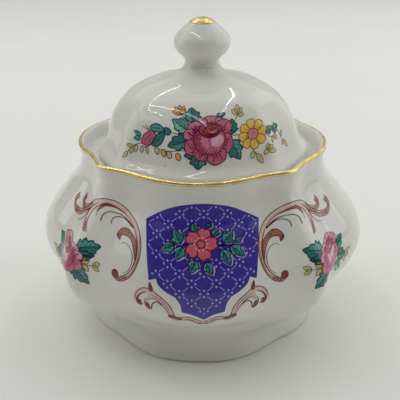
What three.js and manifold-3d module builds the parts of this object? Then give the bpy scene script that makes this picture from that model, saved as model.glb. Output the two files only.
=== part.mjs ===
// Lidded porcelain sugar bowl, four-lobed plan, standing on its own foot ring.
// Millimetres, +Z up. Origin on the table under the middle of the foot ring.
// The panel with the shield faces -Y; the lid's spoon notch is on the -X side.
import * as THREE from 'three';
import { mergeVertices } from 'three/addons/utils/BufferGeometryUtils.js';
import Module from 'manifold-3d';

const wasm = await Module();
wasm.setup();

// ---- driving dimensions (mm) ----
const BOWL_SEGMENTS = 64;
const KNOB_SEGMENTS = 32;
const DIP_SKEW = 0.515;
const RIDGE_SPREAD = 0.75;
const FOOT_RADIUS = 41.6;
const FOOT_CORNER_RADIUS = 39.0;
const FOOT_RING_INNER = 35.6;
const FOOT_RECESS = 2.4;
const RIM_RADIUS = 44.1;
const RIM_CORNER_RADIUS = 43.9;
const RIM_HEIGHT = 67.5;
const RIM_DIP = 0.05;
const LEDGE_HEIGHT = 63.0;
const LEDGE_INNER = 34.6;
const LID_FLANGE_RADIUS = 37.9;
const LID_COLLAR_RADIUS = 33.7;
const LID_COLLAR_BOTTOM = 59.4;
const LID_DIP = 0.035;
const LID_TOP = 93.5;
const NOTCH_WIDTH = 21.0;
const NOTCH_FLOOR_X = -32.2;
const KNOB_FOOT_RADIUS = 6.3;
const KNOB_GILT_RADIUS = 4.3;
const KNOB_GILT_HEIGHT = 108.1;
const GILT_THICKNESS = 0.2;

// ---- the lobed plan: four broad panels with a narrow knuckle at each corner ----
function panelShare(phi) {
  const quarter = Math.PI / 2;
  const turned = (((phi + quarter / 2) % quarter) + quarter) % quarter;
  const off = Math.abs(turned - quarter / 2);
  return (quarter / 2 - off) / (quarter / 2);
}

function dipShape(phi) {
  const w = panelShare(phi);
  const s = w / (w + DIP_SKEW * (1 - w));
  return Math.sin(Math.PI * s) ** 2;
}

function ridgeShape(phi) {
  const w = Math.min(panelShare(phi) / RIDGE_SPREAD, 1);
  return 0.5 * (1 + Math.cos(Math.PI * w));
}

// Each profile row is [radius at mid panel, height, radius at corner, dip depth].
function lobedLathe(rows, segments) {
  const points = rows.map((row) => new THREE.Vector2(row[0], row[1]));
  const geometry = new THREE.LatheGeometry(points, segments);
  const position = geometry.attributes.position;
  const count = rows.length;
  for (let i = 0; i <= segments; i += 1) {
    const phi = (i % segments) * ((2 * Math.PI) / segments);
    const dip = dipShape(phi);
    const ridge = ridgeShape(phi);
    for (let j = 0; j < count; j += 1) {
      const row = rows[j];
      const r = row[0] * (1 - row[3] * dip) + (row[2] - row[0]) * ridge;
      const k = i * count + j;
      position.setXYZ(k, r * Math.sin(phi), row[1], r * Math.cos(phi));
    }
  }
  return closed(geometry);
}

function plainLathe(rows, segments) {
  return lobedLathe(rows.map((row) => [row[0], row[1], row[0], 0]), segments);
}

// Weld the seam and the axis points, drop flat triangles, and turn +Y up into +Z up.
function closed(geometry) {
  geometry.deleteAttribute('uv');
  geometry.deleteAttribute('normal');
  const welded = mergeVertices(geometry, 1e-5);
  const index = welded.index.array;
  const kept = [];
  for (let t = 0; t < index.length; t += 3) {
    const a = index[t];
    const b = index[t + 1];
    const c = index[t + 2];
    if (a !== b && b !== c && c !== a) {
      kept.push(a, b, c);
    }
  }
  welded.setIndex(kept);
  welded.rotateX(Math.PI / 2);
  welded.computeVertexNormals();
  return welded;
}

function toManifold(geometry) {
  const mesh = new wasm.Mesh({
    numProp: 3,
    vertProperties: new Float32Array(geometry.attributes.position.array),
    triVerts: new Uint32Array(geometry.index.array),
  });
  mesh.merge();
  return new wasm.Manifold(mesh);
}

function fromManifold(solid) {
  const mesh = solid.getMesh();
  const geometry = new THREE.BufferGeometry();
  const stride = mesh.numProp;
  const position = new Float32Array((mesh.vertProperties.length / stride) * 3);
  for (let i = 0; i < position.length / 3; i += 1) {
    position[3 * i] = mesh.vertProperties[stride * i];
    position[3 * i + 1] = mesh.vertProperties[stride * i + 1];
    position[3 * i + 2] = mesh.vertProperties[stride * i + 2];
  }
  geometry.setAttribute('position', new THREE.BufferAttribute(position, 3));
  geometry.setIndex(Array.from(mesh.triVerts));
  geometry.computeVertexNormals();
  return geometry;
}

// ---- bowl: foot ring, waist, belly, neck, rim, inner ledge, hollow ----
const rimOuter = [RIM_RADIUS, 66.4, RIM_CORNER_RADIUS, RIM_DIP];
const rimShoulder = [RIM_RADIUS - 0.1, 67.0, RIM_CORNER_RADIUS - 0.1, RIM_DIP];
const rimRound = [RIM_RADIUS - 0.5, 67.4, RIM_CORNER_RADIUS - 0.5, RIM_DIP];
const rimTop = [RIM_RADIUS - 1.1, RIM_HEIGHT, RIM_CORNER_RADIUS - 1.1, RIM_DIP];
const rimRoundIn = [RIM_RADIUS - 1.7, 67.3, RIM_CORNER_RADIUS - 1.7, RIM_DIP];
const rimInner = [RIM_RADIUS - 2.2, 66.8, RIM_CORNER_RADIUS - 2.2, RIM_DIP];

const bowlRows = [
  [0, FOOT_RECESS, 0, 0],
  [20, FOOT_RECESS, 20, 0],
  [FOOT_RING_INNER - 1.2, FOOT_RECESS, FOOT_RING_INNER - 2.6, 0],
  [FOOT_RING_INNER, 1.2, FOOT_RING_INNER - 1.4, 0],
  [FOOT_RING_INNER + 1.1, 0, FOOT_RING_INNER - 0.3, 0],
  [FOOT_RADIUS - 0.9, 0, FOOT_CORNER_RADIUS - 0.9, -0.012],
  [FOOT_RADIUS, 0.8, FOOT_CORNER_RADIUS, -0.012],
  [FOOT_RADIUS - 0.9, 3.0, 38.3, -0.012],
  [40.0, 5.4, 37.9, -0.006],
  [39.8, 7.0, 37.9, 0],
  [40.2, 8.8, 38.9, 0],
  [41.6, 11.2, 42.2, 0.006],
  [44.4, 14.2, 46.4, 0.02],
  [48.4, 18.2, 51.0, 0.036],
  [53.4, 23.0, 54.8, 0.048],
  [57.0, 28.0, 57.2, 0.05],
  [58.4, 33.0, 58.2, 0.05],
  [57.8, 38.0, 57.5, 0.05],
  [55.6, 42.6, 55.2, 0.05],
  [52.3, 47.0, 51.8, 0.05],
  [48.5, 51.8, 48.0, 0.05],
  [45.3, 55.8, 45.0, 0.05],
  [43.7, 59.6, 43.4, 0.05],
  [43.3, 62.6, 43.1, 0.05],
  [43.7, 65.0, 43.5, 0.05],
  rimOuter,
  rimShoulder,
  rimRound,
  rimTop,
  rimRoundIn,
  rimInner,
  [RIM_RADIUS - 3.1, 64.8, RIM_CORNER_RADIUS - 3.1, RIM_DIP],
  [RIM_RADIUS - 3.7, LEDGE_HEIGHT + 0.4, RIM_CORNER_RADIUS - 3.7, RIM_DIP],
  [RIM_RADIUS - 4.4, LEDGE_HEIGHT, RIM_CORNER_RADIUS - 4.4, RIM_DIP],
  [LEDGE_INNER + 0.6, LEDGE_HEIGHT, LEDGE_INNER + 1.0, 0.02],
  [LEDGE_INNER, LEDGE_HEIGHT - 0.6, LEDGE_INNER + 0.4, 0.02],
  [LEDGE_INNER, LEDGE_HEIGHT - 2.4, LEDGE_INNER + 0.4, 0.02],
  [36.4, 58.2, 36.6, 0.03],
  [41.2, 54.0, 41.0, 0.045],
  [46.6, 48.8, 46.2, 0.05],
  [52.2, 42.2, 51.8, 0.05],
  [54.7, 35.6, 54.8, 0.05],
  [53.0, 28.0, 54.0, 0.05],
  [48.2, 21.4, 50.6, 0.045],
  [41.8, 15.4, 44.0, 0.02],
  [34.6, 10.6, 35.4, 0],
  [24.0, 7.4, 24.0, 0],
  [12.0, 6.2, 12.0, 0],
  [0, 6.0, 0, 0],
];

// ---- gilded line round the rim: a thin skin lying on the rim ----
function skin(row, dr, dz) {
  return [row[0] + dr, row[1] + dz, row[2] + dr, row[3]];
}

const g = GILT_THICKNESS;
const rimGiltRows = [
  rimOuter,
  skin(rimOuter, g, 0),
  skin(rimShoulder, g, 0.1),
  skin(rimRound, 0.6 * g, 0.8 * g),
  skin(rimTop, 0, g),
  skin(rimRoundIn, -0.6 * g, 0.8 * g),
  skin(rimInner, -g, 0),
  rimInner,
  rimRoundIn,
  rimTop,
  rimRound,
  rimShoulder,
  rimOuter,
];

// ---- lid: hollow lobed dome with a flange, a locating collar and a spoon notch ----
const lidRows = [
  [0, 87.9, 0, 0],
  [9.0, 87.3, 9.0, 0],
  [17.4, 85.3, 17.4, 0.004],
  [23.6, 82.4, 23.6, 0.012],
  [28.0, 77.0, 28.2, 0.02],
  [30.4, 70.4, 31.0, 0.024],
  [31.2, 65.0, 31.8, 0.024],
  [31.3, LID_COLLAR_BOTTOM + 0.5, 31.7, 0.022],
  [31.8, LID_COLLAR_BOTTOM, 32.2, 0.022],
  [LID_COLLAR_RADIUS - 0.5, LID_COLLAR_BOTTOM, LID_COLLAR_RADIUS - 0.1, 0.022],
  [LID_COLLAR_RADIUS, LID_COLLAR_BOTTOM + 0.5, LID_COLLAR_RADIUS + 0.4, 0.022],
  [LID_COLLAR_RADIUS, LEDGE_HEIGHT, LID_COLLAR_RADIUS + 0.4, 0.022],
  [LID_FLANGE_RADIUS - 0.9, LEDGE_HEIGHT, LID_FLANGE_RADIUS + 0.1, LID_DIP],
  [LID_FLANGE_RADIUS - 0.2, 63.7, LID_FLANGE_RADIUS + 0.8, LID_DIP],
  [LID_FLANGE_RADIUS, 64.8, LID_FLANGE_RADIUS + 1.0, LID_DIP],
  [LID_FLANGE_RADIUS - 0.4, 66.0, LID_FLANGE_RADIUS + 0.6, LID_DIP],
  [36.2, 67.2, 37.1, LID_DIP],
  [34.8, 68.8, 35.7, LID_DIP],
  [33.7, 71.2, 34.6, LID_DIP],
  [32.7, 74.0, 33.6, LID_DIP],
  [31.3, 77.2, 32.2, 0.033],
  [29.2, 80.6, 30.0, 0.03],
  [26.1, 84.0, 26.8, 0.026],
  [22.2, 86.6, 22.7, 0.02],
  [17.4, 88.6, 17.7, 0.012],
  [12.2, 90.1, 12.3, 0.004],
  [9.0, 91.2, 9.0, 0],
  [7.2, 92.3, 7.2, 0],
  [KNOB_FOOT_RADIUS, LID_TOP, KNOB_FOOT_RADIUS, 0],
  [0, LID_TOP, 0, 0],
];

// The spoon notch: a straight-floored bite with rounded ends through flange and collar.
function notchCutter() {
  const half = NOTCH_WIDTH / 2;
  const round = 3.0;
  const floor = NOTCH_FLOOR_X;
  const shape = new THREE.Shape();
  shape.moveTo(-60, -half);
  shape.lineTo(floor - round, -half);
  shape.quadraticCurveTo(floor, -half, floor, -half + round);
  shape.lineTo(floor, half - round);
  shape.quadraticCurveTo(floor, half, floor - round, half);
  shape.lineTo(-60, half);
  shape.lineTo(-60, -half);
  const extruded = new THREE.ExtrudeGeometry(shape, {
    depth: 18,
    bevelEnabled: false,
    curveSegments: 5,
  });
  extruded.translate(0, 0, 55);
  extruded.deleteAttribute('uv');
  extruded.deleteAttribute('normal');
  return mergeVertices(extruded, 1e-5);
}

// ---- knob: waisted stem and a rounded bud, luted to the short neck of the dome ----
const knobRows = [
  [0, LID_TOP],
  [KNOB_FOOT_RADIUS, LID_TOP],
  [5.9, 94.7],
  [6.0, 95.7],
  [6.7, 96.7],
  [8.2, 98.1],
  [9.4, 99.8],
  [9.75, 101.5],
  [9.3, 103.2],
  [8.0, 104.9],
  [6.3, 106.5],
  [KNOB_GILT_RADIUS, KNOB_GILT_HEIGHT],
  [3.1, 108.9],
  [1.7, 109.4],
  [0, 109.6],
];

const knobGiltRows = [
  [0, 109.6],
  [1.7, 109.4],
  [3.1, 108.9],
  [KNOB_GILT_RADIUS, KNOB_GILT_HEIGHT],
  [KNOB_GILT_RADIUS + 0.08, KNOB_GILT_HEIGHT + g],
  [3.2, 108.9 + g],
  [1.75, 109.4 + g],
  [0, 109.6 + g],
];

// ---- materials ----
function material(colour, roughness, metalness) {
  return new THREE.MeshStandardMaterial({ color: colour, roughness, metalness });
}

const porcelain = material(0xeeeeea, 0.12, 0);
const gilt = material(0xc79a3c, 0.25, 1);

function node(name, geometry, mat) {
  const mesh = new THREE.Mesh(geometry, mat);
  mesh.name = name;
  return mesh;
}

const lidSolid = toManifold(lobedLathe(lidRows, BOWL_SEGMENTS)).subtract(toManifold(notchCutter()));

const group = new THREE.Group();
group.name = 'sugar_bowl';
group.add(node('bowl', lobedLathe(bowlRows, BOWL_SEGMENTS), porcelain));
group.add(node('rim_gilding', lobedLathe(rimGiltRows, BOWL_SEGMENTS), gilt));
group.add(node('lid', fromManifold(lidSolid), porcelain));
group.add(node('knob', plainLathe(knobRows, KNOB_SEGMENTS), porcelain));
group.add(node('knob_gilding', plainLathe(knobGiltRows, KNOB_SEGMENTS), gilt));

export default group;
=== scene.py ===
import math

import bpy
import numpy as np
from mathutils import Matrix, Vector
from mathutils.geometry import delaunay_2d_cdt


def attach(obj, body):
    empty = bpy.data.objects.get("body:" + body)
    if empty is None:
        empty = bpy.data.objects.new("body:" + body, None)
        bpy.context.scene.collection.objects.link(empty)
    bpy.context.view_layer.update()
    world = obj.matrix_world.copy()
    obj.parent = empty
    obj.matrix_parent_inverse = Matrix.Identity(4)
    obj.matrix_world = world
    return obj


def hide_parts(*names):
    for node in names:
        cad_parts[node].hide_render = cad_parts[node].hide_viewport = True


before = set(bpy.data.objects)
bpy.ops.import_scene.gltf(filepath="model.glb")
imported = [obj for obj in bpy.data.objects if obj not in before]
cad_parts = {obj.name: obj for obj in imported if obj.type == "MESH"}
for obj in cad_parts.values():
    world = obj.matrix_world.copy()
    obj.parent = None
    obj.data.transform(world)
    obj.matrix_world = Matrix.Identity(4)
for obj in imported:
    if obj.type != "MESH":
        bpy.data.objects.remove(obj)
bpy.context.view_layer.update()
MM = 0.001

# ---- profiles
# Rows are [radius at mid panel, height, radius at corner] in mm, then the dip as a share of radius.
BOWL_SEGMENTS = 360
# A dip lies between a ridge and the middle of its panel, and DIP_SKEW below 1 moves it towards the
# ridge. A ridge fades out over RIDGE_SPREAD of the way to the middle.
DIP_SKEW = 0.515
RIDGE_SPREAD = 0.75
# The crest on a ridge: its height in mm, its spread, and the heights where it fades in and out.
CREST = 0.9
CREST_WIDTH = 0.25
CREST_RISE = (13, 25)
CREST_FALL = (40, 54)
LID_SEAM = [0, 93.5, 0, 0]

FOOT_ROWS = [
    [0, 2.4, 0, 0], [20, 2.4, 20, 0], [34.4, 2.4, 33.0, 0], [35.6, 1.2, 34.2, 0],
    [36.0, 0.35, 34.7, 0], [36.7, 0.0, 35.3, 0], [40.7, 0.0, 38.1, -0.012],
    [41.45, 0.3, 38.85, -0.012], [41.6, 0.8, 39.0, -0.012],
]
BODY_ROWS = [
    [41.6, 0.8, 39.0, -0.012], [40.7, 3.0, 38.3, -0.012], [40.0, 5.4, 37.9, -0.006],
    [39.8, 7.0, 37.9, 0], [40.2, 8.8, 38.9, 0], [41.6, 11.2, 42.2, 0.006],
    [44.4, 14.2, 46.4, 0.02], [48.4, 18.2, 51.0, 0.036], [53.4, 23.0, 54.8, 0.048],
    [57.0, 28.0, 57.2, 0.05], [58.4, 33.0, 58.2, 0.05], [57.8, 38.0, 57.5, 0.05],
    [55.6, 42.6, 55.2, 0.05], [52.3, 47.0, 51.8, 0.05], [48.5, 51.8, 48.0, 0.05],
    [45.3, 55.8, 45.0, 0.05], [43.7, 59.6, 43.4, 0.05], [43.3, 62.6, 43.1, 0.05],
    [43.7, 65.0, 43.5, 0.05], [44.1, 66.4, 43.9, 0.05],
]
RIM_ROWS = [
    [44.1, 66.4, 43.9, 0.05], [44.0, 67.0, 43.8, 0.05], [43.6, 67.4, 43.4, 0.05],
    [43.0, 67.5, 42.8, 0.05], [42.4, 67.3, 42.2, 0.05], [41.9, 66.8, 41.7, 0.05],
]
INSIDE_ROWS = [
    [41.9, 66.8, 41.7, 0.05], [41.0, 64.8, 40.8, 0.05], [40.4, 63.4, 40.2, 0.05],
    [39.7, 63.0, 39.5, 0.05], [35.2, 63.0, 35.6, 0.02], [34.6, 62.4, 35.0, 0.02],
    [34.6, 60.6, 35.0, 0.02], [36.4, 58.2, 36.6, 0.03], [41.2, 54.0, 41.0, 0.045],
    [46.6, 48.8, 46.2, 0.05], [52.2, 42.2, 51.8, 0.05], [54.7, 35.6, 54.8, 0.05],
    [53.0, 28.0, 54.0, 0.05], [48.2, 21.4, 50.6, 0.045], [41.8, 15.4, 44.0, 0.02],
    [34.6, 10.6, 35.4, 0], [24.0, 7.4, 24.0, 0], [12.0, 6.2, 12.0, 0], [0, 6.0, 0, 0],
]
LID_INSIDE_ROWS = [
    [0, 87.9, 0, 0], [9.0, 87.3, 9.0, 0], [17.4, 85.3, 17.4, 0.004],
    [23.6, 82.4, 23.6, 0.012], [28.0, 77.0, 28.2, 0.02], [30.4, 70.4, 31.0, 0.024],
    [31.2, 65.0, 31.8, 0.024], [31.3, 59.9, 31.7, 0.022], [31.8, 59.4, 32.2, 0.022],
    [33.2, 59.4, 33.6, 0.022], [33.7, 59.9, 34.1, 0.022], [33.7, 63.0, 34.1, 0.022],
    [37.0, 63.0, 38.0, 0.035], [37.7, 63.7, 38.7, 0.035], [37.9, 64.8, 38.9, 0.035],
]
LID_ROWS = [
    [37.9, 64.8, 38.9, 0.035], [37.5, 66.0, 38.5, 0.035], [36.2, 67.2, 37.1, 0.035],
    [34.8, 68.8, 35.7, 0.035], [33.7, 71.2, 34.6, 0.035], [32.7, 74.0, 33.6, 0.035],
    [31.3, 77.2, 32.2, 0.033], [29.2, 80.6, 30.0, 0.03], [26.1, 84.0, 26.8, 0.026],
    [22.2, 86.6, 22.7, 0.02], [17.4, 88.6, 17.7, 0.012], [12.2, 90.1, 12.3, 0.004],
    [9.0, 91.2, 9.0, 0], [7.2, 92.3, 7.2, 0], [6.3, 93.5, 6.3, 0],
]
KNOB_ROWS = [
    [6.3, 93.5, 6.3, 0], [5.9, 94.7, 5.9, 0], [6.0, 95.7, 6.0, 0], [6.7, 96.7, 6.7, 0],
    [8.2, 98.1, 8.2, 0], [9.4, 99.8, 9.4, 0], [9.75, 101.5, 9.75, 0], [9.3, 103.2, 9.3, 0],
    [8.0, 104.9, 8.0, 0], [6.3, 106.5, 6.3, 0], [4.3, 108.1, 4.3, 0], [3.1, 108.9, 3.1, 0],
    [1.7, 109.4, 1.7, 0], [0, 109.6, 0, 0],
]


def panel_share(phi):
    """0 on the ridge between two panels, 1 in the middle of a panel."""
    quarter = math.pi / 2
    off = np.abs(np.mod(phi + quarter / 2, quarter) - quarter / 2)
    return (quarter / 2 - off) / (quarter / 2)


def dip_shape(phi):
    w = panel_share(phi)
    return np.sin(math.pi * w / (w + DIP_SKEW * (1 - w))) ** 2


def ridge_shape(phi):
    return 0.5 * (1 + np.cos(math.pi * np.minimum(panel_share(phi) / RIDGE_SPREAD, 1)))


def smooth_rows(rows, step, closed=False):
    """Rows resampled on a centripetal Catmull-Rom curve through the given rows."""
    p = np.array(rows, float)
    if closed:
        q = np.array([p[-1], *p, p[0], p[1]])
    else:
        q = np.array([2 * p[0] - p[1], *p, 2 * p[-1] - p[-2]])
    out = [] if closed else [p[0]]
    for p0, p1, p2, p3 in zip(q[:-3], q[1:-2], q[2:-1], q[3:]):
        t = [0.0]
        for a, b in ((p0, p1), (p1, p2), (p2, p3)):
            t.append(t[-1] + max(math.hypot(b[0] - a[0], b[1] - a[1]), 1e-4) ** 0.5)
        n = max(1, round(math.hypot(p2[0] - p1[0], p2[1] - p1[1]) / step))
        for k in range(1, n + 1):
            u = t[1] + (t[2] - t[1]) * k / n
            a1 = (t[1] - u) / (t[1] - t[0]) * p0 + (u - t[0]) / (t[1] - t[0]) * p1
            a2 = (t[2] - u) / (t[2] - t[1]) * p1 + (u - t[1]) / (t[2] - t[1]) * p2
            a3 = (t[3] - u) / (t[3] - t[2]) * p2 + (u - t[2]) / (t[3] - t[2]) * p3
            b1 = (t[2] - u) / (t[2] - t[0]) * a1 + (u - t[0]) / (t[2] - t[0]) * a2
            b2 = (t[3] - u) / (t[3] - t[1]) * a2 + (u - t[1]) / (t[3] - t[1]) * a3
            out.append((t[2] - u) / (t[2] - t[1]) * b1 + (u - t[1]) / (t[2] - t[1]) * b2)
    return np.array(out)


def crest(z, phi):
    """The crisp edge that the belly keeps along the ridge between two panels, in mm."""
    rise = (z - CREST_RISE[0]) / (CREST_RISE[1] - CREST_RISE[0])
    fall = (CREST_FALL[1] - z) / (CREST_FALL[1] - CREST_FALL[0])
    fade = np.clip(np.minimum(rise, fall), 0, 1)
    return CREST * fade * np.clip(1 - panel_share(phi) / CREST_WIDTH, 0, 1) ** 2


def lobed_radius(row, phi):
    rm, z, rc, d = row[..., 0], row[..., 1], row[..., 2], row[..., 3]
    return rm * (1 - d * dip_shape(phi)) + (rc - rm) * ridge_shape(phi) + crest(z, phi)


def spin(name, rows, segments=BOWL_SEGMENTS, loop=False):
    """A closed surface of lobed revolution; rows that reach the axis share one point."""
    rows = np.asarray(rows, float)
    phi = np.arange(segments) * 2 * math.pi / segments
    verts, rings = [], []
    for row in rows:
        if row[0] < 1e-9:
            rings.append([len(verts)])
            verts.append((0, 0, row[1] * MM))
            continue
        r = lobed_radius(np.repeat(row[None], segments, 0), phi)
        rings.append(range(len(verts), len(verts) + segments))
        for a, ri in zip(phi, r):
            verts.append((ri * math.sin(a) * MM, -ri * math.cos(a) * MM, row[1] * MM))
    faces = []
    pairs = list(zip(rings[:-1], rings[1:]))
    if loop:
        pairs.append((rings[-1], rings[0]))
    for low, high in pairs:
        for i in range(segments):
            j = (i + 1) % segments
            if len(low) == 1:
                faces.append((low[0], high[j], high[i]))
            elif len(high) == 1:
                faces.append((low[i], low[j], high[0]))
            else:
                faces.append((low[i], low[j], high[j], high[i]))
    return make_mesh(name, verts, faces)


def make_mesh(name, verts, faces, smooth=True):
    mesh = bpy.data.meshes.new(name)
    mesh.from_pydata(verts, [], faces)
    mesh.polygons.foreach_set("use_smooth", [smooth] * len(mesh.polygons))
    mesh.update()
    piece = bpy.data.objects.new(name, mesh)
    bpy.context.scene.collection.objects.link(piece)
    return piece


# ---- materials
def srgb(r, g, b):
    def lin(c):
        c /= 255
        return c / 12.92 if c <= 0.04045 else ((c + 0.055) / 1.055) ** 2.4
    return (lin(r), lin(g), lin(b), 1)


def new_material(name):
    mat = bpy.data.materials.new(name)
    mat.use_nodes = True
    tree = mat.node_tree
    shader = tree.nodes["Principled BSDF"]
    return mat, tree, shader


def add(tree, kind, **values):
    node = tree.nodes.new(kind)
    for key, value in values.items():
        setattr(node, key, value)
    return node


def noise(tree, scale, detail=3, rough=0.5):
    coords = add(tree, "ShaderNodeTexCoord")
    tex = add(tree, "ShaderNodeTexNoise")
    tex.inputs["Scale"].default_value = scale
    tex.inputs["Detail"].default_value = detail
    tex.inputs["Roughness"].default_value = rough
    tree.links.new(coords.outputs["Object"], tex.inputs["Vector"])
    return tex.outputs["Fac"]


def ramp(tree, source, stops):
    node = add(tree, "ShaderNodeValToRGB")
    elements = node.color_ramp.elements
    while len(elements) < len(stops):
        elements.new(0.5)
    for element, (at, colour) in zip(elements, stops):
        element.position = at
        element.color = colour
    tree.links.new(source, node.inputs["Fac"])
    return node.outputs["Color"]


def tone(colour, k):
    return (colour[0] * k, colour[1] * k, colour[2] * k, 1)


def grey(v):
    return (v, v, v, 1)


def bump(tree, shader, source, distance, strength):
    node = add(tree, "ShaderNodeBump")
    node.inputs["Distance"].default_value = distance
    node.inputs["Strength"].default_value = strength
    tree.links.new(source, node.inputs["Height"])
    tree.links.new(node.outputs["Normal"], shader.inputs["Normal"])


def mixed(tree, factor, source, colour):
    """The source's colour, mixed towards a plain colour by another node's factor."""
    node = add(tree, "ShaderNodeMix", data_type="RGBA")
    tree.links.new(factor, node.inputs["Factor"])
    tree.links.new(source, node.inputs["A"])
    node.inputs["B"].default_value = colour
    return node.outputs["Result"]


def bare_foot(tree, colour, rough):
    """Creamier and duller within a millimetre of the table, where the foot ring is unglazed."""
    coords = add(tree, "ShaderNodeTexCoord")
    split = add(tree, "ShaderNodeSeparateXYZ")
    tree.links.new(coords.outputs["Object"], split.inputs["Vector"])
    share = add(tree, "ShaderNodeMapRange")
    for key, value in (("From Min", 0.3 * MM), ("From Max", 0.9 * MM), ("To Min", 1.0), ("To Max", 0.0)):
        share.inputs[key].default_value = value
    tree.links.new(split.outputs["Z"], share.inputs["Value"])
    bare = share.outputs["Result"]
    return mixed(tree, bare, colour, (0.66, 0.62, 0.55, 1)), mixed(tree, bare, rough, grey(0.6))


def porcelain(name, foot=False):
    """White glazed porcelain: faint cloudiness, a few firing specks, long soft ripples."""
    mat, tree, shader = new_material(name)
    white = (0.80, 0.80, 0.75, 1)
    cloud = ramp(tree, noise(tree, 45, 3), [(0.3, tone(white, 0.972)), (0.7, tone(white, 1.0))])
    speck = ramp(tree, noise(tree, 620, 1, 0.3), [(0.80, grey(1.0)), (0.83, (0.52, 0.44, 0.37, 1))])
    mix = add(tree, "ShaderNodeMix", data_type="RGBA", blend_type="MULTIPLY")
    mix.inputs["Factor"].default_value = 0.6
    tree.links.new(cloud, mix.inputs["A"])
    tree.links.new(speck, mix.inputs["B"])
    colour = mix.outputs["Result"]
    rough = ramp(tree, noise(tree, 300, 2), [(0.3, grey(0.035)), (0.75, grey(0.06))])
    if foot:
        colour, rough = bare_foot(tree, colour, rough)
    tree.links.new(colour, shader.inputs["Base Color"])
    tree.links.new(rough, shader.inputs["Roughness"])
    bump(tree, shader, noise(tree, 95, 2, 0.4), 0.00006, 0.25)
    shader.inputs["IOR"].default_value = 1.52
    shader.inputs["Specular IOR Level"].default_value = 0.5
    return mat


def gilding(name):
    """Fired gold: brushed on by hand, so its edge tone and gloss wander a little."""
    mat, tree, shader = new_material(name)
    golds = [(0.25, (0.66, 0.47, 0.16, 1)), (0.5, (0.85, 0.66, 0.27, 1)), (0.8, (0.95, 0.81, 0.42, 1))]
    base = ramp(tree, noise(tree, 380, 4), golds)
    tree.links.new(base, shader.inputs["Base Color"])
    rough = ramp(tree, noise(tree, 700, 3), [(0.3, grey(0.14)), (0.8, grey(0.30))])
    tree.links.new(rough, shader.inputs["Roughness"])
    shader.inputs["Metallic"].default_value = 1.0
    bump(tree, shader, noise(tree, 520, 3), 0.00006, 0.6)
    return mat


INK_GLOSS = 0.09


def enamel(name, rgb, dots=None, spread=0.14, scale=900):
    """One printed ink of a transfer: a dot-screen unevenness under a thin glossy flux."""
    mat, tree, shader = new_material(name)
    colour = srgb(*rgb)
    tones = [(0.3, tone(colour, 1 - spread)), (0.7, tone(colour, 1 + spread))]
    body = ramp(tree, noise(tree, scale, 4, 0.6), tones)
    if dots is not None:
        screen = ramp(tree, noise(tree, 2600, 1, 0.2), [(0.46, grey(0)), (0.56, grey(1))])
        body = mixed(tree, screen, body, srgb(*dots))
    tree.links.new(body, shader.inputs["Base Color"])
    gloss = ramp(tree, noise(tree, 1500, 2), [(0.3, grey(INK_GLOSS * 0.8)), (0.8, grey(INK_GLOSS * 1.4))])
    tree.links.new(gloss, shader.inputs["Roughness"])
    bump(tree, shader, noise(tree, 1800, 2), 0.000006, 0.4)
    shader.inputs["IOR"].default_value = 1.5
    return mat


# Each ink's colour, the colour of its screen's dots if it has them, and the spread and scale of its tone.
INK_LOOKS = {
    "rose_mid": ((204, 112, 142), (188, 84, 120)),
    "rose_dark": ((148, 40, 80), (128, 28, 66)),
    "rose_light": ((218, 146, 170), (204, 112, 146)),
    "rose_pale": ((232, 192, 204), (222, 162, 182)),
    "rose_line": ((112, 22, 52), None, 0.1),
    "rose_heart": ((186, 104, 84), (150, 52, 62)),
    "teal": ((54, 134, 128), (38, 108, 112)),
    "teal_light": ((94, 168, 156), (60, 144, 138)),
    "teal_dark": ((14, 84, 84), None, 0.12),
    "leaf_line": ((18, 40, 44), None, 0.1),
    "yellow": ((244, 206, 98), (234, 188, 76)),
    "orange": ((238, 186, 98), (220, 150, 68)),
    "brown_line": ((110, 56, 26), None, 0.12),
    "olive": ((208, 204, 150), (190, 182, 118)),
    "olive_line": ((112, 92, 36), None, 0.12),
    "scroll_dark": ((122, 52, 38), (150, 80, 62)),
    "scroll_line": ((104, 44, 34), None, 0.12),
    "scroll_light": ((228, 206, 194), (218, 186, 172)),
    "violet": ((66, 54, 160), (56, 44, 146), 0.1, 320),
    "lavender": ((174, 166, 236), None, 0.08),
    "salmon": ((216, 112, 130), (202, 88, 110)),
    "salmon_dark": ((132, 30, 46), None, 0.1),
    "night": ((22, 18, 52), None, 0.1),
    "frost": ((176, 176, 220), None, 0.08),
    "rose_shade": ((176, 72, 110), (196, 94, 130)),
    "salmon_glow": ((240, 176, 140), None, 0.1),
    "frost_leaf": ((150, 206, 190), None, 0.1),
    "scroll_stipple": ((186, 130, 112), (128, 62, 48)),
}
INK = {name: enamel(name, *look) for name, look in INK_LOOKS.items()}

GLAZE = porcelain("glazed_porcelain_bowl", foot=True)
GLAZE_LID = porcelain("glazed_porcelain_lid")
GOLD = gilding("fired_gold")


def finish_piece(piece, material, body, node):
    piece.data.materials.append(material)
    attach(piece, body)
    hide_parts(node)


# ---- ceramic pieces
KNOB_SEGMENTS = 128
# In mm: the rim's steps, and how proud the gilding stands.
RIM_STEP = 0.25
GILDING = 0.2

body_rows = smooth_rows(BODY_ROWS, 0.8)
inside_rows = smooth_rows(INSIDE_ROWS, 1.6)
foot_rows = smooth_rows(FOOT_ROWS, 3.0)
rim_rows = smooth_rows(RIM_ROWS, RIM_STEP)
bowl_rows = np.concatenate([foot_rows[:-1], body_rows[:-1], rim_rows[:-1], inside_rows])
bowl = spin("porcelain_bowl", bowl_rows)
finish_piece(bowl, GLAZE, "bowl", "bowl")


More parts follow.
